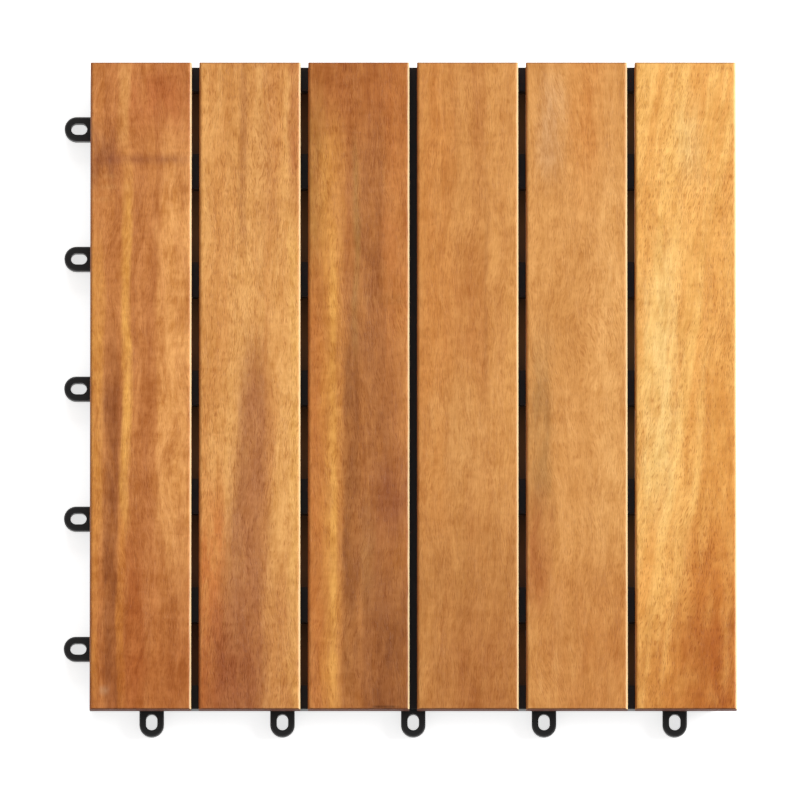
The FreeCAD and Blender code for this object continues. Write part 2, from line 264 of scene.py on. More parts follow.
fine = calc(grain, "MULTIPLY", noise(grain, swayed, *NOISES["fine"]), 0.5)
dash = noise(grain, swayed, *NOISES["dash"])
clump = noise(grain, swayed, *NOISES["clump"])
effects = {
    "Bands": noise(grain, swayed, *NOISES["bands"]),
    "Mottle": noise(grain, swayed, *NOISES["mottle"]),
    "Speckle": noise(grain, swayed, *NOISES["speckle"]),
    "Fibres": calc(grain, "MULTIPLY_ADD", noise(grain, swayed, *NOISES["hair"]), 0.5, fine),
    "Figure": noise(grain, shifted, *NOISES["figure"]),
}
for name, spread in SPREAD.items():
    feed(grain, result[name], ease(grain, effects[name], 0.5 - spread, 0.5 + spread))
feed(grain, result["Pores"], ease(grain, calc(grain, "MULTIPLY_ADD", clump, CLUMPING, dash), *PORE_RANGE))
print("Grain group:", len(grain.nodes), "nodes")

# %% [markdown]
# ## Streaks of heartwood
# What tells one slat from the next is where its dark and golden streaks run. A streak is a soft strip
# that goes from a place at the foot of the board to a place at its head, may widen on the way, and
# fades at its ends. They could be painted on by brush. Written as a group, a streak is one node with its
# sizes in millimetres, so a board is described the way one would point at it: here it is dark, there it
# is golden.

# %% Streak group
HALF_LENGTH = 149.0
STREAK_NOISES = {
    "drift": ((1.0, 0.022, 1.0), 2.0),
    "edge": ((0.3, 0.035, 0.3), 4.0, 0.6),
    "strength": ((0.16, 0.04, 0.16), 3.0, 0.6),
}
# Wander in millimetres, the rest in shares of the streak's width or strength.
WANDER_REACH = 4.0
EDGE_REACH = 1.6
THINNING = 0.5
THIN_RANGE = (0.32, 0.62)

streak_group, given, result = new_group(
    "Heartwood streak",
    [("Board", VECTOR, None), ("Head", VALUE, 0.0), ("Foot", VALUE, 0.0), ("Half at head", VALUE, 5.0),
     ("Half at foot", VALUE, 5.0), ("From", VALUE, -200.0), ("To", VALUE, 200.0), ("Fade", VALUE, 12.0),
     ("Softness", VALUE, 0.5), ("Wander", VALUE, 1.5), ("Ragged", VALUE, 1.0), ("Seed", VALUE, 0.0)],
    ("Mask",))
across, along, _ = split(streak_group, given["Board"])
rise = calc(streak_group, "DIVIDE", calc(streak_group, "ADD", along, HALF_LENGTH), 2 * HALF_LENGTH)


def between_ends(foot, head):
    """Number that runs evenly from the board's foot to its head."""
    span = calc(streak_group, "SUBTRACT", head, foot)
    return calc(streak_group, "MULTIPLY_ADD", span, rise, foot)


def soft_edge(shape, value, at, half):
    """Smooth step, up or down, over half to each side of a place."""
    low, high = calc(streak_group, "SUBTRACT", at, half), calc(streak_group, "ADD", at, half)
    return shape(streak_group, value, low, high)


print("A streak may run", 2 * HALF_LENGTH, "mm from foot to head")

# %% Middle, edge and strength of a streak
drift = noise(streak_group, join(streak_group, given["Seed"], along, 0.0), *STREAK_NOISES["drift"])
wander = swing(streak_group, drift, calc(streak_group, "MULTIPLY", given["Wander"], WANDER_REACH))
centre = calc(streak_group, "ADD", between_ends(given["Foot"], given["Head"]), wander)
offset = calc(streak_group, "ABSOLUTE", calc(streak_group, "SUBTRACT", across, centre))
share = calc(streak_group, "DIVIDE", offset, between_ends(given["Half at foot"], given["Half at head"]))

own = move(streak_group, given["Board"], join(streak_group, given["Seed"], 0.0, 0.0))
ragged = noise(streak_group, own, *STREAK_NOISES["edge"])
fray = swing(streak_group, ragged, calc(streak_group, "MULTIPLY", given["Ragged"], EDGE_REACH))
inside = soft_edge(fall, calc(streak_group, "ADD", share, fray), 1.0, given["Softness"])

weakest = calc(streak_group, "MULTIPLY_ADD", given["Ragged"], -THINNING, 1.0)
uneven = ease(streak_group, noise(streak_group, own, *STREAK_NOISES["strength"]), *THIN_RANGE, to_low=weakest)
start = soft_edge(ease, along, given["From"], given["Fade"])
stop = soft_edge(fall, along, given["To"], given["Fade"])
mask = calc(streak_group, "MULTIPLY", inside, uneven)
mask = calc(streak_group, "MULTIPLY", mask, calc(streak_group, "MULTIPLY", start, stop))
feed(streak_group, result["Mask"], mask)
print("Streak group:", len(streak_group.nodes), "nodes")

# %% [markdown]
# ## Painted edge highlight and shade, and end grain
# The long top edges were sanded round. A highlight is painted along the right one and a shade along
# the left one, as light from the right falls on the rounded edges. At the sawn ends the fibres are seen
# end on: darker, with arcs of growth rings. Both could be faces with a material of their own, with a
# hard line between. Found from the place on the board and the way the surface faces, they fade in, and
# hold from every side.

# %% Arris group
# Widths and depths in millimetres, the edge in shares of the width.
ARRIS_WIDTH = 0.8
ARRIS_NOISE = ((1.0, 0.06, 1.0), 2.0)
ARRIS_LEAST, ARRIS_MORE = 0.6, 0.8
ARRIS_EDGE = (0.5, 1.1)
ARRIS_DEPTH = (-2.2, -1.0)

# Paints a highlight on the right arris and a shade on the left one, both into the colour.
arris, given, result = new_group(
    "Sanded arris",
    [("Board", VECTOR, None), ("Half width", VALUE, 23.25), ("Width", VALUE, ARRIS_WIDTH),
     ("Seed", VALUE, 0.0)],
    ("Painted highlight", "Oiled and painted shade"))
across, along, height = split(arris, given["Board"])
unevenness = noise(arris, join(arris, given["Seed"], along, 0.0), *ARRIS_NOISE)
wider = calc(arris, "MULTIPLY_ADD", unevenness, ARRIS_MORE, ARRIS_LEAST)
reach = calc(arris, "MULTIPLY", given["Width"], wider)
not_low = ease(arris, height, *ARRIS_DEPTH)
# Painted highlight along the right edge, painted shade along the left edge.
for name, way in (("Painted highlight", "SUBTRACT"), ("Oiled and painted shade", "ADD")):
    edge_gap = calc(arris, way, given["Half width"], across)
    on_side = fall(arris, calc(arris, "DIVIDE", edge_gap, reach), *ARRIS_EDGE)
    feed(arris, result[name], calc(arris, "MULTIPLY", on_side, not_low))
print("Arris group:", len(arris.nodes), "nodes, edges", ARRIS_WIDTH, "mm wide")

# %% End grain group
# The rings bend about the heart of the trunk, which lay below the board and to one side of it. Its
# place is in millimetres. The rings are a sine wave that turns by so many radians a millimetre.
END_FACING = (0.55, 0.8)
HEART_ASIDE, HEART_TURN = 26.0, 2.4
HEART_BELOW = 34.0
RING_TURN = 2.6
RING_WOBBLE = 5.0
RING_STRENGTH, RING_RANGE = 0.25, (0.25, 0.75)
WOBBLE_BUMPS, SPECKLE_BUMPS = (0.25, 0.25, 0.25), (3.0, 3.0, 3.0)

end_grain, given, result = new_group(
    "End grain", [("Board", VECTOR, None), ("Facing", VECTOR, None), ("Seed", VALUE, 0.0)], ("Mask", "Rings"))
across, _, height = split(end_grain, given["Board"])
_, facing_along, _ = split(end_grain, given["Facing"])
feed(end_grain, result["Mask"], ease(end_grain, calc(end_grain, "ABSOLUTE", facing_along), *END_FACING))

turn = calc(end_grain, "SINE", calc(end_grain, "MULTIPLY", given["Seed"], HEART_TURN))
side = calc(end_grain, "SUBTRACT", across, calc(end_grain, "MULTIPLY", turn, HEART_ASIDE))
depth = calc(end_grain, "ADD", height, HEART_BELOW)
squares = (calc(end_grain, "MULTIPLY", length, length) for length in (side, depth))
radius = calc(end_grain, "SQRT", calc(end_grain, "ADD", *squares))
wobble = noise(end_grain, given["Board"], WOBBLE_BUMPS)
angle = calc(end_grain, "MULTIPLY_ADD", wobble, RING_WOBBLE, calc(end_grain, "MULTIPLY", radius, RING_TURN))
ring = calc(end_grain, "SINE", angle)
cells = noise(end_grain, given["Board"], SPECKLE_BUMPS)
rings = calc(end_grain, "MULTIPLY_ADD", ring, RING_STRENGTH, cells)
feed(end_grain, result["Rings"], ease(end_grain, rings, *RING_RANGE))
print("Rings lie", round(2 * math.pi / RING_TURN, 1), "mm apart, in", len(end_grain.nodes), "nodes")

# %% [markdown]
# ## Six boards, six descriptions
# The boards were cut from different trunks: reddish brown, golden, chocolate, honey, tan and bright
# yellow. One shared timber with random tones would make six boards that nobody could tell apart. So
# each is written down: two ground tones, how strongly its speckle, mottle, pores and figure show, how
# much its lines wave and lean, and its streaks. Sizes are millimetres from the middle of the board,
# across to the right and along upward.

# %% Board descriptions
def streak(tone, head, foot, half, reach=(-200, 200), strength=0.8, fade=12, soft=0.5, wander=1.0,
           ragged=1.0):
    """One streak: tone, place at head and foot, half width (or two), where along, and how strong."""
    half_head, half_foot = half if isinstance(half, tuple) else (half, half)
    return {"tone": paint(*tone), "strength": strength, "Head": head, "Foot": foot,
            "Half at head": half_head, "Half at foot": half_foot, "From": reach[0], "To": reach[1],
            "Fade": fade, "Softness": soft, "Wander": wander, "Ragged": ragged}


BOARDS = {
    "slat_1": {
        "tones": ((214, 140, 78), (196, 122, 66)),
        "speckle": 0.5, "mottle": 0.5, "pores": 0.4, "figure": 0.35, "wave": 1.4, "lean": 0.02,
        "streaks": [
            streak((240, 170, 98), 17, 16, 8, (-90, 105), 0.85, fade=40),
            streak((176, 98, 46), 0, 0, 30, (-170, -92), 0.7, fade=45, soft=0.2),
            streak((188, 114, 64), 3, 4, 3.5, (-90, 60), 0.3, fade=30),
            streak((160, 92, 50), -10, -10, 2.5, (-60, 10), 0.7, fade=20, soft=0.7),
            streak((240, 172, 86), -6.0, -7.5, (1.8, 2.0), (-60, 95), 0.95, fade=25, soft=0.7),
            streak((226, 156, 76), -21, -21, 3.5, (-60, 60), 0.8, fade=25),
            streak((214, 140, 66), -21, -22, 2.5, (-149, -40), 0.6, fade=20),
            streak((146, 82, 44), -14, -13, (3.2, 3.6), (-160, 20), 0.8, fade=30),
            streak((206, 128, 56), -8, -9, (1.6, 1.8), (-149, -60), 0.7, fade=20),
            streak((172, 88, 38), -3, -2, (4, 5), (-149, -72), 0.7, fade=22),
            streak((208, 134, 76), 4, 5, 4.5, (-108, -60), 0.8, fade=16, soft=0.8),
            streak((196, 118, 60), 7, 7, (2.0, 2.2), (-149, -90), 0.6, fade=20),
            streak((184, 100, 52), 8, 8, 14, (120, 146), 0.7, fade=10, soft=0.8),
            streak((226, 160, 90), -8, -8, 2.5, (112, 149), 0.7, fade=8),
            streak((136, 76, 52), -19, -18, 6.5, (96, 115), 0.85, fade=13, soft=0.9, wander=2.0, ragged=1.4),
            streak((156, 90, 56), 0, 0, 24, (102.5, 106.0), 0.6, fade=2.5, soft=0.2),
            streak((238, 182, 116), -17, -17, 7, (96.0, 96.8), 0.35, fade=1.6, soft=0.9, ragged=1.6),
            streak((238, 182, 116), -15, -15, 8, (91.0, 92.0), 0.4, fade=1.8, soft=0.9, ragged=1.6),
            streak((238, 182, 116), -18, -18, 6, (85.4, 86.2), 0.35, fade=1.6, soft=0.9, ragged=1.6),
            streak((236, 204, 160), -17.5, -17, 1.6, (-142, -139), 0.3, fade=2.0, soft=0.8),
        ]},
    "slat_2": {
        "tones": ((236, 172, 100), (222, 152, 84)),
        "speckle": 0.5, "mottle": 0.32, "pores": 0.6, "figure": 0.25, "wave": 0.8, "lean": 0.03,
        "streaks": [
            streak((206, 140, 82), 7, 7, (6, 4), (60, 170), 0.4, fade=25, soft=0.8),
            streak((206, 138, 72), -6, -6, 7, (92, 170), 0.6, fade=20, soft=0.8),
            streak((184, 118, 66), -3.0, -3.4, 1.8, (64, 149), 0.65, fade=14, soft=0.8, wander=0.6),
            streak((184, 106, 58), 20, 21, 2.6, (84, 170), 0.75, fade=20, soft=0.7),
            streak((246, 186, 104), 20, 21, 2.0, (-149, 74), 0.7, fade=15, soft=0.7),
            streak((206, 116, 56), -14, -19, (5, 8), (-170, -52), 0.8, fade=25),
            streak((178, 112, 69), 8.5, -4.5, (0.5, 12.5), (-170, 16), 0.86, fade=24, soft=0.6, ragged=0.4),
            streak((160, 86, 48), -9, -9, (8, 14), (-160, -104), 0.7, fade=22, soft=0.8, ragged=0.5),
            streak((196, 126, 70), 15, 16, 6, (-170, -84), 0.6, fade=28, soft=0.8),
        ]},
    "slat_3": {
        "tones": ((206, 136, 74), (188, 118, 64)),
        "speckle": 0.38, "mottle": 0.4, "pores": 0.5, "figure": 0.3, "wave": 1.4, "lean": 0.0,
        "streaks": [
            streak((172, 98, 46), 0, 0, 26, (112, 170), 0.75, fade=20, soft=0.2),
            streak((184, 128, 62), -20, -22, 5.0, (40, 130), 0.7, fade=25),
            streak((204, 122, 58), -19, -19, 4.5, (-149, 60), 0.6, fade=25),
            streak((226, 156, 76), -12.5, -12.5, (4.5, 3.6), (-170, 118), 0.7, fade=20, soft=0.8),
            streak((240, 174, 88), -12, -11.5, (1.2, 1.4), (-130, 70), 0.65, fade=20, soft=0.7),
            streak((150, 92, 48), -2, -4, (3.5, 4.0), (-140, 30), 0.8, fade=25, soft=0.6),
            streak((168, 104, 58), 5, 8, (7, 12), (-170, 110), 0.75, fade=25, soft=0.7),
            streak((202, 124, 64), 17, 16, 5, (20, 170), 0.65, fade=25),
            streak((178, 130, 72), -1, -2, 1.4, (20, 110), 0.6, fade=15, soft=0.7),
            streak((150, 84, 54), 16, 16, 8, (-66, -36), 0.7, fade=14, soft=0.7),
            streak((148, 88, 48), 18, 16, (4, 12), (-170, -92), 0.85, fade=24, soft=0.6),
            streak((182, 128, 76), 4, 4, 3, (-100, -60), 0.5, fade=20, soft=0.8),
            streak((196, 134, 76), 8, 8, 12, (38.0, 42.0), 0.35, fade=2.5, soft=0.4),
            streak((70, 38, 22), 13, 13, 5.0, (-148.4, -147.4), 0.8, fade=0.6, soft=0.5),
        ]},
    "slat_4": {
        "tones": ((219, 152, 84), (204, 135, 73)),
        "speckle": 0.38, "mottle": 0.32, "pores": 0.4, "figure": 0.22, "wave": 1.0, "lean": 0.03,
        "streaks": [
            streak((218, 140, 68), -15, -15, 7, (-60, 170), 0.5, fade=30, soft=0.8),
            streak((196, 122, 62), -1, -1, 10, (6, 60), 0.6, fade=20, soft=0.9),
            streak((190, 124, 66), -5, -5, 5, (-96, 0), 0.35, fade=20, soft=0.9),
            streak((232, 166, 94), 18, 16, 6, (-60, 170), 0.55, fade=30, soft=0.8),
            streak((222, 160, 94), -6, -6, 16, (-48, 0), 0.45, fade=18, soft=0.9),
            streak((186, 118, 58), 2.5, 2.5, 4.0, (84, 98), 0.55, fade=6, soft=0.8),
            streak((190, 126, 68), 8, 8.5, 0.8, (0, 90), 0.5, fade=20, soft=0.8),
            streak((194, 130, 70), 2, 2, 26, (-170, -62), 0.7, fade=30, soft=0.2),
            streak((172, 100, 50), 6, 8, (10, 18), (-170, -108), 0.65, fade=25, soft=0.8),
        ]},
    "slat_5": {
        "tones": ((227, 161, 92), (213, 147, 80)),
        "speckle": 0.4, "mottle": 0.3, "pores": 0.4, "figure": 0.15, "wave": 1.6, "lean": -0.02,
        "streaks": [
            streak((226, 172, 118), -11, -13, 5.5, (96, 140), 0.7, fade=14, soft=0.8),
            streak((214, 134, 64), 5, 5, 6, (90, 170), 0.6, fade=25, soft=0.9),
            streak((242, 180, 108), 15, 16, 8, (-70, 100), 0.65, fade=30, soft=0.8),
            streak((176, 126, 72), -15, -17, (3.0, 6.5), (-66, 18), 0.65, fade=24, soft=0.7),
            streak((184, 110, 58), -17, -18, 6.0, (-104, -52), 0.8, fade=14, soft=0.8),
            streak((194, 120, 58), 8, 6, 22, (-170, -90), 0.7, fade=30, soft=0.4),
            streak((190, 120, 64), -6, -12, (3, 4), (-140, -96), 0.25, fade=14, soft=0.8),
            streak((222, 156, 88), -14, -12, 4, (-170, -126), 0.6, fade=12, soft=0.8),
            streak((222, 158, 92), -5, -5, 5, (-140, -102), 0.6, fade=14, soft=0.8),
        ]},
    "slat_6": {
        "tones": ((253, 194, 110), (241, 171, 90)),
        "speckle": 0.42, "mottle": 0.34, "pores": 0.7, "figure": 0.2, "wave": 0.8, "lean": 0.14,
        "streaks": [
            streak((255, 218, 142), -10, -14, 7, (-58, 60), 0.55, fade=26, soft=0.9),
            streak((255, 214, 140), 2, 2, 5, (96, 128), 0.6, fade=12, soft=0.9),
            streak((226, 150, 70), 18, 15, (3.5, 12), (-170, 24), 0.85, fade=35, soft=0.7),
            streak((202, 120, 52), 14, 12, 14, (-170, -66), 0.8, fade=22, soft=0.6),
            streak((172, 88, 38), 7, 9, (8, 14), (-156, -106), 0.85, fade=16, soft=0.7),
            streak((202, 124, 54), -8, -10, 20, (-170, -112), 0.7, fade=24, soft=0.6),
        ]},
}
print("Boards:", {name: len(board["streaks"]) for name, board in BOARDS.items()})

# %% [markdown]
# ## From description to oiled timber
# The material lays its colours down in the order a finisher would see them: ground tone, streaks,
# speckle and fibres, pores, then the painted highlight and shade on the edges, and end grain. Oil fills
# the pores unevenly, so roughness follows the fibres, and a very low bump lets the light catch them. Real
# displacement would cost millions of faces for a depth of a tenth of a millimetre. The film of oil also
# mirrors a little of the white sky, which pales every tone, so that share is taken off before the colour
# goes in.

# %% Timber tones
board_low, board_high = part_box("slat_1")
BOARD_HALF = (board_high[0] - board_low[0]) / 2 * 1000
SKY_SHARE = 0.016
# What the darkest and the lightest cells do to a tone: shade turns it redder, light more golden.
CELL_SHADE = (0.80, 0.70, 0.56, 1.0)
CELL_LIGHT = (1.20, 1.30, 1.44, 1.0)
PORE_SHADE = (0.66, 0.50, 0.38, 1.0)
FIBRE_WEIGHT = 0.22
# Painted highlight for the right arris and painted shade for the left arris, with their shares.
ARRIS_HIGHLIGHT, ARRIS_HIGHLIGHT_SHARE = paint(255, 232, 180), 0.8
ARRIS_SHADE, ARRIS_SHADE_SHARE = paint(142, 66, 32), 0.6
SAWN_DARK, SAWN_LIGHT = paint(84, 42, 26), paint(122, 66, 38)
DULL, GLOSSY, SAWN_ROUGHER = 0.5, 0.36, 0.25
OIL_SPECULAR = 0.4
GRAIN_DEPTH, GRAIN_STRENGTH, PORE_DEPTH = 0.00008, 0.5, 1.5
STREAK_SEED, ARRIS_SEED = 7.3, 3.1
print("A slat is", round(2 * BOARD_HALF, 2), "mm wide, its grain", GRAIN_DEPTH * 1000, "mm deep")

# %% Colour of a board
def board_colour(tree, spot, board, number, looks):
    """Ground tone, streaks, shades of the cells, and pores. Gives the colour and the pores' share."""
    light, dark = (paint(*tone) for tone in board["tones"])
    colour = mix(tree, looks["Bands"], dark, light)
    for index, strip in enumerate(board["streaks"]):
        sizes = {key: value for key, value in strip.items() if key not in ("tone", "strength")}
        seed = number * STREAK_SEED + index
        mask = place(tree, streak_group, {"Board": spot, "Seed": seed, **sizes})["Mask"]
        colour = mix(tree, calc(tree, "MULTIPLY", mask, strip["strength"]), colour, strip["tone"])

    # Speckle, mottle and fibres are the wood's own colour; the figure's bands across the grain are its silky
    # sheen, painted in.
    weights = {"Speckle": board["speckle"], "Mottle": board["mottle"], "Figure": board["figure"],
               "Fibres": FIBRE_WEIGHT}
    level = 0.5 - sum(weights.values()) / 2
    for effect, weight in weights.items():
        level = calc(tree, "MULTIPLY_ADD", looks[effect], weight, level)
    colour = mix(tree, 1.0, colour, mix(tree, level, CELL_SHADE, CELL_LIGHT), "MULTIPLY")
    pores = calc(tree, "MULTIPLY", looks["Pores"], board["pores"])
    return mix(tree, pores, colour, mix(tree, 1.0, colour, PORE_SHADE, "MULTIPLY")), pores


print("Cells range from", CELL_SHADE[:3], "to", CELL_LIGHT[:3], "of a tone")

# %% Timber material
def timber(name, board, number):
    """Material of one slat, in millimetres about the middle of its top face."""
    low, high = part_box(name)
    made, tree, shader = new_material(f"Oiled timber {number}")
    spot = in_millimetres(tree, ((low[0] + high[0]) / 2, (low[1] + high[1]) / 2, high[2]))
    facing = add(tree, "ShaderNodeTexCoord").outputs["Normal"]
    looks = place(tree, grain, {"Board": spot, "Seed": float(number), "Wave": board["wave"],
                                "Lean": board["lean"]})
    colour, pores = board_colour(tree, spot, board, number, looks)

    edges = place(tree, arris, {"Board": spot, "Half width": BOARD_HALF, "Seed": number * ARRIS_SEED})
    # Painted highlight on the right arris, painted shade on the left one.
    colour = mix(tree, calc(tree, "MULTIPLY", edges["Painted highlight"], ARRIS_HIGHLIGHT_SHARE), colour, ARRIS_HIGHLIGHT)
    colour = mix(tree, calc(tree, "MULTIPLY", edges["Oiled and painted shade"], ARRIS_SHADE_SHARE), colour, ARRIS_SHADE)
    ends = place(tree, end_grain, {"Board": spot, "Facing": facing, "Seed": float(number)})
    colour = mix(tree, ends["Mask"], colour, mix(tree, ends["Rings"], SAWN_DARK, SAWN_LIGHT))
    colour = mix(tree, 1.0, colour, (SKY_SHARE, SKY_SHARE, SKY_SHARE, 1.0), "SUBTRACT")
    feed(tree, shader.inputs["Base Color"], colour)

    sheen = ease(tree, looks["Fibres"], 0.0, 1.0, to_low=DULL, to_high=GLOSSY)
    feed(tree, shader.inputs["Roughness"], calc(tree, "MULTIPLY_ADD", ends["Mask"], SAWN_ROUGHER, sheen))
    shader.inputs["Specular IOR Level"].default_value = OIL_SPECULAR
    relief = calc(tree, "SUBTRACT", looks["Fibres"], calc(tree, "MULTIPLY", pores, PORE_DEPTH))
    bump = add(tree, "ShaderNodeBump",
               {"Height": relief, "Distance": GRAIN_DEPTH, "Strength": GRAIN_STRENGTH})
    feed(tree, shader.inputs["Normal"], bump.outputs["Normal"])
    return made


for number, (name, board) in enumerate(BOARDS.items(), 1):
    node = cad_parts[name]
    node.data.materials.clear()
    node.data.materials.append(timber(name, board, number))
print("Timber on", len(BOARDS), "slats")

# %% [markdown]
# ## Black moulded plastic
# The base comes from one mould, in black polyolefin. Such plastic is never quite flat: the spark-eroded
# tool leaves a fine pebble, thick places sink a little, and handling leaves faint grey rubs. Plain black
# would show none of its walls, so the colour is a dark grey that drifts a little, the roughness follows
# the pebble, and the rubs are a noise drawn out along one way.

# %% Plastic material
PEBBLE = ((1.6, 1.6, 1.6), 3.0, 0.6)
CLOUD = ((0.05, 0.05, 0.05), 3.0, 0.6)
RUBS, RUB_RANGE, RUB_SHARE = ((0.12, 0.7, 0.3), 4.0, 0.7), (0.6, 0.75), 0.35
BLACK, SOFT_BLACK, RUBBED = paint(14, 13, 14), paint(26, 25, 26), paint(48, 46, 45)
PLASTIC_GLOSSY, PLASTIC_DULL, RUB_DULLER = 0.36, 0.5, 0.1
PEBBLE_DEPTH, PEBBLE_STRENGTH = 0.00006, 0.6
NOISE_RANGE = (0.3, 0.7)


def moulded_plastic():
    """Near-black plastic with a fine pebble and faint rubs."""
    made, tree, shader = new_material("Black moulded plastic")
    spot = in_millimetres(tree)
    pebble = noise(tree, spot, *PEBBLE)
    rub = ease(tree, noise(tree, spot, *RUBS), *RUB_RANGE)
    colour = mix(tree, noise(tree, spot, *CLOUD), BLACK, SOFT_BLACK)
    colour = mix(tree, calc(tree, "MULTIPLY", rub, RUB_SHARE), colour, RUBBED)
    feed(tree, shader.inputs["Base Color"], colour)
    gloss = ease(tree, pebble, *NOISE_RANGE, to_low=PLASTIC_GLOSSY, to_high=PLASTIC_DULL)
    feed(tree, shader.inputs["Roughness"], calc(tree, "MULTIPLY_ADD", rub, RUB_DULLER, gloss))
    bump = add(tree, "ShaderNodeBump",
               {"Height": pebble, "Distance": PEBBLE_DEPTH, "Strength": PEBBLE_STRENGTH})
    feed(tree, shader.inputs["Normal"], bump.outputs["Normal"])
    return made


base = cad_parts["base_grid"]
base.data.materials.clear()
base.data.materials.append(moulded_plastic())
print("Plastic on", base.name)

# %% [markdown]
# ## Zinc-plated screws
# Twelve screws come up through the outermost bars of the base, two into each slat. From below one
# sees their heads, deep inside the bars: a low dome with a cross recess. The plating has a cool,
# slightly clouded shine. It is a metal, so its colour is that of its reflection, and one noise clouds
# both the colour and the roughness.

# %% Screw material
PLATING_CLOUD = ((0.8, 0.8, 0.8), 3.0, 0.6)
PLATING_DARK, PLATING_LIGHT = paint(168, 166, 160), paint(206, 204, 196)
PLATING_GLOSSY, PLATING_DULL = 0.28, 0.45


def zinc_plating():
    """Bright plated steel, clouded."""
    made, tree, shader = new_material("Zinc plating")
    cloud = noise(tree, in_millimetres(tree), *PLATING_CLOUD)
    feed(tree, shader.inputs["Base Color"], mix(tree, cloud, PLATING_DARK, PLATING_LIGHT))
    gloss = ease(tree, cloud, *NOISE_RANGE, to_low=PLATING_GLOSSY, to_high=PLATING_DULL)
    feed(tree, shader.inputs["Roughness"], gloss)
    shader.inputs["Metallic"].default_value = 1.0
    return made


plating = zinc_plating()
print("Made", plating.name)

# %% [markdown]
# ## Turning a screw
# A screw is turned from a half profile: crown of the dome, rim, seat, shank and tip. A spin modifier
# would do it too, but a dozen lines of points and faces give every ring where it is wanted. A helix of
# triangular section winds around the shank as the thread. The recess is cut by two crossed wedges, as
# the punch that makes it has two crossed blades. All twelve share one mesh, as they share a node.

# %% Turned profile
SCREW_LOW, SCREW_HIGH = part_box("slat_screws")
# Metres. Heights are counted from the seat of the head.
SEAT = 0.0100
HEAD_RADIUS = 0.00325
RIM = 0.0011
SHANK_RADIUS = 0.00175
CORE_RADIUS = 0.00125
THREAD_PITCH = 0.0014
THREAD_START = 0.0022
THREAD_TAPER = 0.0006
TIP_LENGTH, TIP_SHARE = 0.0008, 0.4
ROUND_STEPS = 32
DOME_RINGS = (0.3, 0.5, 0.7, 0.85, 0.95)
CROWN = SCREW_LOW[2] - SEAT
TIP = SCREW_HIGH[2] - SEAT


def circle_point(radius, step, height):
    """Point on a circle of ROUND_STEPS steps."""
    angle = 2 * math.pi * step / ROUND_STEPS
    return radius * math.cos(angle), radius * math.sin(angle), height


def new_mesh(name, points, faces):
    """Mesh from points and faces."""
    mesh = bpy.data.meshes.new(name)
    mesh.from_pydata(points, [], faces)
    return mesh


def turned(name, profile):
    """Closed mesh turned about Z from points (radius, height), the first and last on the axis."""
    points = [(0.0, 0.0, profile[0][1])]
    for radius, height in profile[1:-1]:
        points += [circle_point(radius, step, height) for step in range(ROUND_STEPS)]
    points.append((0.0, 0.0, profile[-1][1]))
    last_ring = 1 + (len(profile) - 3) * ROUND_STEPS
    faces = []
    for step in range(ROUND_STEPS):
        after = (step + 1) % ROUND_STEPS
        faces.append((0, 1 + after, 1 + step))
        faces.append((len(points) - 1, last_ring + step, last_ring + after))
        for ring in range(1, last_ring, ROUND_STEPS):
            faces.append((ring + step, ring + after, ring + ROUND_STEPS + after, ring + ROUND_STEPS + step))
    return new_mesh(name, points, faces)


def dome(radius):
    """Height of the head's dome at a radius."""
    return CROWN + (-RIM - CROWN) * (radius / HEAD_RADIUS) ** 3


head = [(0.0, CROWN)]
head += [(share * HEAD_RADIUS, dome(share * HEAD_RADIUS)) for share in DOME_RINGS]
head += [(HEAD_RADIUS, -RIM), (HEAD_RADIUS, 0.0)]
shank = [(SHANK_RADIUS, 0.0), (SHANK_RADIUS, THREAD_START), (CORE_RADIUS, THREAD_START + THREAD_TAPER),
         (CORE_RADIUS, TIP - TIP_LENGTH), (CORE_RADIUS * TIP_SHARE, TIP), (0.0, TIP)]
blank_mesh = turned("screw_blank", head + shank)
print("Screw", round((TIP - CROWN) * 1000, 1), "mm long from", len(head + shank), "points")

# %% Thread
# Steps over which the thread runs out, its root in the core, and half its foot as a share of the pitch.
RUN_OUT = 12
ROOT_SHARE = 0.9
RIDGE_HALF = 0.35


def thread(name):
    """Ridge of triangular section that winds up the shank and runs out at both ends."""
    turns = (TIP - THREAD_START) / THREAD_PITCH - 1.0
    count = int(turns * ROUND_STEPS)
    points, faces = [], []
    for step in range(count + 1):
        height = THREAD_START + THREAD_PITCH * (0.5 + step / ROUND_STEPS)
        out = min(1.0, step / RUN_OUT, (count - step) / RUN_OUT)
        crest = CORE_RADIUS + (SHANK_RADIUS - CORE_RADIUS) * out
        root = CORE_RADIUS * ROOT_SHARE
        for radius, lift in ((root, -RIDGE_HALF), (crest, 0.0), (root, RIDGE_HALF)):
            points.append(circle_point(radius, step, height + lift * THREAD_PITCH))
    for step in range(count):
        for side in range(3):
            a, b = 3 * step + side, 3 * step + (side + 1) % 3
            faces.append((a, a + 3, b + 3, b))
    faces += [(0, 1, 2), (3 * count + 2, 3 * count + 1, 3 * count)]
    return new_mesh(name, points, faces)


thread_mesh = thread("screw_thread")
print("Thread:", len(thread_mesh.polygons), "faces")

# %% Cross recess
# Half length and half width of a blade, then its two ends: place from the crown, and share of the size.
BLADE_REACH, BLADE_HALF = 0.0019, 0.00055
BLADE_ABOVE, BLADE_DEPTH = (-0.0005, 1.1), (0.0017, 0.45)


def wedge(name, turn):
    """Blade of the punch: a box that narrows on its way into the head."""
    points = []
    for lift, share in (BLADE_ABOVE, BLADE_DEPTH):
        for x, y in ((-1, -1), (1, -1), (1, 1), (-1, 1)):
            spot = Vector((x * BLADE_REACH * share, y * BLADE_HALF * share, CROWN + lift))
            points.append(Matrix.Rotation(turn, 3, "Z") @ spot)
    sides = [(0, 1, 5, 4), (1, 2, 6, 5), (2, 3, 7, 6), (3, 0, 4, 7)]
    return new_mesh(name, points, [(3, 2, 1, 0), (4, 5, 6, 7)] + sides)


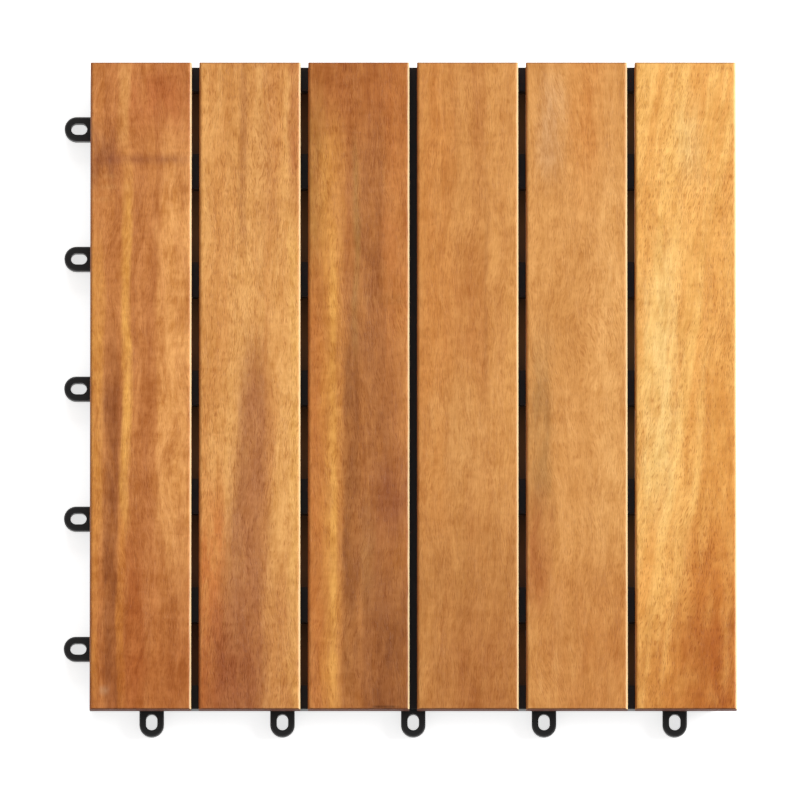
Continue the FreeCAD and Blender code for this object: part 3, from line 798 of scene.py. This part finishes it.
blank = bpy.data.objects.new("screw_blank", blank_mesh)
blades = [bpy.data.objects.new(f"punch_{turn}", wedge(f"punch_{turn}", math.radians(turn)))
          for turn in (0, 90)]
for item in (blank, *blades):
    bpy.context.scene.collection.objects.link(item)
for blade in blades:
    cut = blank.modifiers.new(blade.name, "BOOLEAN")
    cut.operation = "DIFFERENCE"
    cut.object = blade
punched = bpy.data.meshes.new_from_object(blank.evaluated_get(bpy.context.evaluated_depsgraph_get()))
for item in (blank, *blades):
    used = item.data
    bpy.data.objects.remove(item)
    bpy.data.meshes.remove(used)
print("Punched screw:", len(punched.polygons), "faces")

# %% [markdown]
# ## Twelve screws, two to a slat
# All go into one object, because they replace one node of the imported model. Two solids are copied
# twelve times each, moved into place. Smooth shading rounds the domes, and edges sharper than 35 degrees
# stay crisp, such as the rim and the recess.

# %% Place the screws
SHARP_EDGE = math.radians(35)
row = SCREW_HIGH[1] - HEAD_RADIUS
shapes = bmesh.new()
for name in BOARDS:
    low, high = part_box(name)
    for y in (-row, row):
        for mesh in (punched, thread_mesh):
            before = len(shapes.verts)
            shapes.from_mesh(mesh)
            shapes.verts.ensure_lookup_table()
            bmesh.ops.translate(shapes, verts=shapes.verts[before:], vec=((low[0] + high[0]) / 2, y, SEAT))
group = bpy.data.meshes.new("plated_screws")
shapes.to_mesh(group)
shapes.free()
for face in group.polygons:
    face.use_smooth = True
group.set_sharp_from_angle(angle=SHARP_EDGE)

plated = bpy.data.objects.new("plated_screws", group)
bpy.context.scene.collection.objects.link(plated)
plated.data.materials.append(plating)
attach(plated, "root")
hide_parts("slat_screws")
print("Screws:", 2 * len(BOARDS), "with", len(group.polygons), "faces")

# %% [markdown]
# ## White paper underneath
# The tile lies on white paper that keeps its soft shadow. Around the tile the paper also glows for
# the camera and for reflections alone, so that it photographs as clean white. More light on the paper
# would do that too, but it would bleach the timber. Inside the base's walls the paper is painted dark as
# shade and doesn't glow, so the gaps between the slats stay dark. The walls of the pegged sides stand
# further in, and there the painted shade fades out under the raised edge as a soft painted shadow.
#
# Seen from below, the paper lets the eye through to the underside, and its window under the tile lets
# the low lamp's light in. Under the gaps the window is shut for reflections, or the bars' walls would
# mirror the sky below as bright lines.

# %% Paper
# Metres.
FLOOR_SIZE = 40.0
GLOW = 0.7
WALLS_OFF = 0.0045
WALLS_HALF = 0.1433
SLATS_HALF = 0.1483
BOARD_PITCH = 0.050
GAP_SHADE = (0.005, 0.010)
# Paper tone, and the painted shade that darkens the paper under the tile.
PAPER, PAPER_PAINTED_SHADE = paint(240, 240, 240), paint(96, 88, 84)


def floor_paper():
    """White paper, painted dark as shade under the tile, clear from below."""
    made, tree, shader = new_material("White paper")
    shader.inputs["Roughness"].default_value = 0.9
    shader.inputs["Specular IOR Level"].default_value = 0.1
    x, y, _ = split(tree, add(tree, "ShaderNodeTexCoord").outputs["Object"])

    def beyond(middle, half):
        """How far past a square of this half width a place lies."""
        far_x, far_y = (calc(tree, "ABSOLUTE", calc(tree, "ADD", value, middle)) for value in (x, y))
        return calc(tree, "SUBTRACT", calc(tree, "MAXIMUM", far_x, far_y), half)

    past_walls, past_slats = beyond(WALLS_OFF, WALLS_HALF), beyond(0.0, SLATS_HALF)
    strip = calc(tree, "SUBTRACT", past_walls, past_slats)
    away = ease(tree, calc(tree, "DIVIDE", past_walls, strip), 0.0, 1.0)
    # Painted shade: darker paper inside the walls, fading out under the raised edges.
    feed(tree, shader.inputs["Base Color"], mix(tree, away, PAPER_PAINTED_SHADE, PAPER))

    ray = add(tree, "ShaderNodeLightPath").outputs
    mirrored = calc(tree, "MAXIMUM", ray["Is Glossy Ray"], ray["Is Transmission Ray"])
    seen = calc(tree, "MAXIMUM", ray["Is Camera Ray"], mirrored)
    shader.inputs["Emission Color"].default_value = (1.0, 1.0, 1.0, 1.0)
    glow = calc(tree, "MULTIPLY", seen, calc(tree, "MULTIPLY", away, GLOW))
    feed(tree, shader.inputs["Emission Strength"], glow)

    under_gap = fall(tree, calc(tree, "PINGPONG", x, BOARD_PITCH / 2), *GAP_SHADE)
    shut = calc(tree, "MULTIPLY", ray["Is Glossy Ray"], under_gap)
    shut = calc(tree, "MAXIMUM", ray["Is Camera Ray"], shut)
    under_tile, open_to_ray = calc(tree, "SUBTRACT", 1.0, away), calc(tree, "SUBTRACT", 1.0, shut)
    window = calc(tree, "MULTIPLY", under_tile, open_to_ray)
    below = add(tree, "ShaderNodeNewGeometry").outputs["Backfacing"]
    clear = add(tree, "ShaderNodeBsdfTransparent").outputs[0]
    sides = add(tree, "ShaderNodeMixShader",
                {0: calc(tree, "MAXIMUM", below, window), 1: shader.outputs[0], 2: clear})
    feed(tree, tree.nodes["Material Output"].inputs["Surface"], sides.outputs[0])
    return made


paper = floor_paper()
print("Paper glows", GLOW, "beyond", SLATS_HALF * 1000, "mm from the middle")

# %% Floor
half = FLOOR_SIZE / 2
sheet = new_mesh("floor", [(-half, -half, 0), (half, -half, 0), (half, half, 0), (-half, half, 0)],
                 [(0, 1, 2, 3)])
floor = bpy.data.objects.new("floor", sheet)
bpy.context.scene.collection.objects.link(floor)
floor.data.materials.append(paper)
floor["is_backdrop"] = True
print("Floor", FLOOR_SIZE, "m wide")

# %% [markdown]
# ## Even light with one bright side
# A bright sky all round gives level light, so that the timber shows about as it is described. One large
# soft lamp stands low at the upper right. It draws the bright line along each slat's right edge, together
# with the highlight painted there, and leaves the left faces and the gaps in shade, together with the
# shade painted on the left edges and on the paper under the tile. A weaker lamp behind touches the far
# ends, and one under the floor shows the bars, feet and screws to an eye below. A lamp's power is worked
# out from the brightness that a flat white sheet should get from it, so it can be moved without dimming.

# %% World
SKY_LEVEL = 0.42
world = bpy.data.worlds.new("Even sky")
bpy.context.scene.world = world
world.use_nodes = True
sky = world.node_tree
background = sky.nodes["Background"].inputs
seen = add(sky, "ShaderNodeLightPath").outputs["Is Camera Ray"]
feed(sky, background["Color"], (1.0, 1.0, 1.0, 1.0))
feed(sky, background["Strength"], calc(sky, "MULTIPLY_ADD", seen, 1.0 - SKY_LEVEL, SKY_LEVEL))
print("Sky lights to", SKY_LEVEL, "and shows white")

# %% Lamps
def soft_lamp(name, toward, distance, size, level):
    """Rectangular lamp aimed at the tile, which lights a flat white sheet there to a level of 0 to 1."""
    direction = Vector(toward).normalized()
    lamp = bpy.data.lights.new(name, "AREA")
    lamp.shape = "RECTANGLE"
    lamp.size, lamp.size_y = size
    lamp.energy = level * math.pi ** 2 * distance ** 2 / abs(direction.z)
    placed = bpy.data.objects.new(name, lamp)
    bpy.context.scene.collection.objects.link(placed)
    placed.location = direction * distance
    placed.rotation_euler = (-direction).to_track_quat("-Z", "Y").to_euler()
    print(name, round(lamp.energy), "W")


soft_lamp("right_lamp", (0.80, 0.28, 0.53), 5.0, (3.0, 2.0), 0.5)
soft_lamp("back_lamp", (-0.10, 0.85, 0.50), 5.0, (2.0, 1.5), 0.1)
soft_lamp("low_lamp", (-0.55, 0.35, -0.75), 3.0, (2.0, 2.0), 0.35)

# %% [markdown]
# ## The camera, high over the near side
# The view is almost straight down, from slightly south: the ends of the slats just show, while the
# edges stay parallel. A short lens close by would splay them, so a long lens stands far away. Its
# length is worked out from the share of the picture's width that the tile should fill.

# %% Camera
CAMERA_STAND = 8.0
CAMERA_FROM = Vector((0.0, -0.138, 1.43)).normalized()
TILE_SHARE = 0.84
SENSOR = 36.0

low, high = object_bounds()
aim = (low + high) / 2
lens = bpy.data.cameras.new("camera")
lens.sensor_width = SENSOR
lens.lens = SENSOR * CAMERA_STAND * TILE_SHARE / (high.x - low.x)
camera = bpy.data.objects.new("camera", lens)
bpy.context.scene.collection.objects.link(camera)
right = Vector((1.0, 0.0, 0.0))
right = (right - CAMERA_FROM * right.dot(CAMERA_FROM)).normalized()
up = CAMERA_FROM.cross(right)
axes = Matrix((right, up, CAMERA_FROM)).transposed().to_4x4()
camera.matrix_world = Matrix.Translation(aim + CAMERA_FROM * CAMERA_STAND) @ axes
bpy.context.scene.camera = camera
bpy.context.scene.view_settings.view_transform = "Standard"
print("Lens", round(lens.lens), "mm at", CAMERA_STAND, "m")
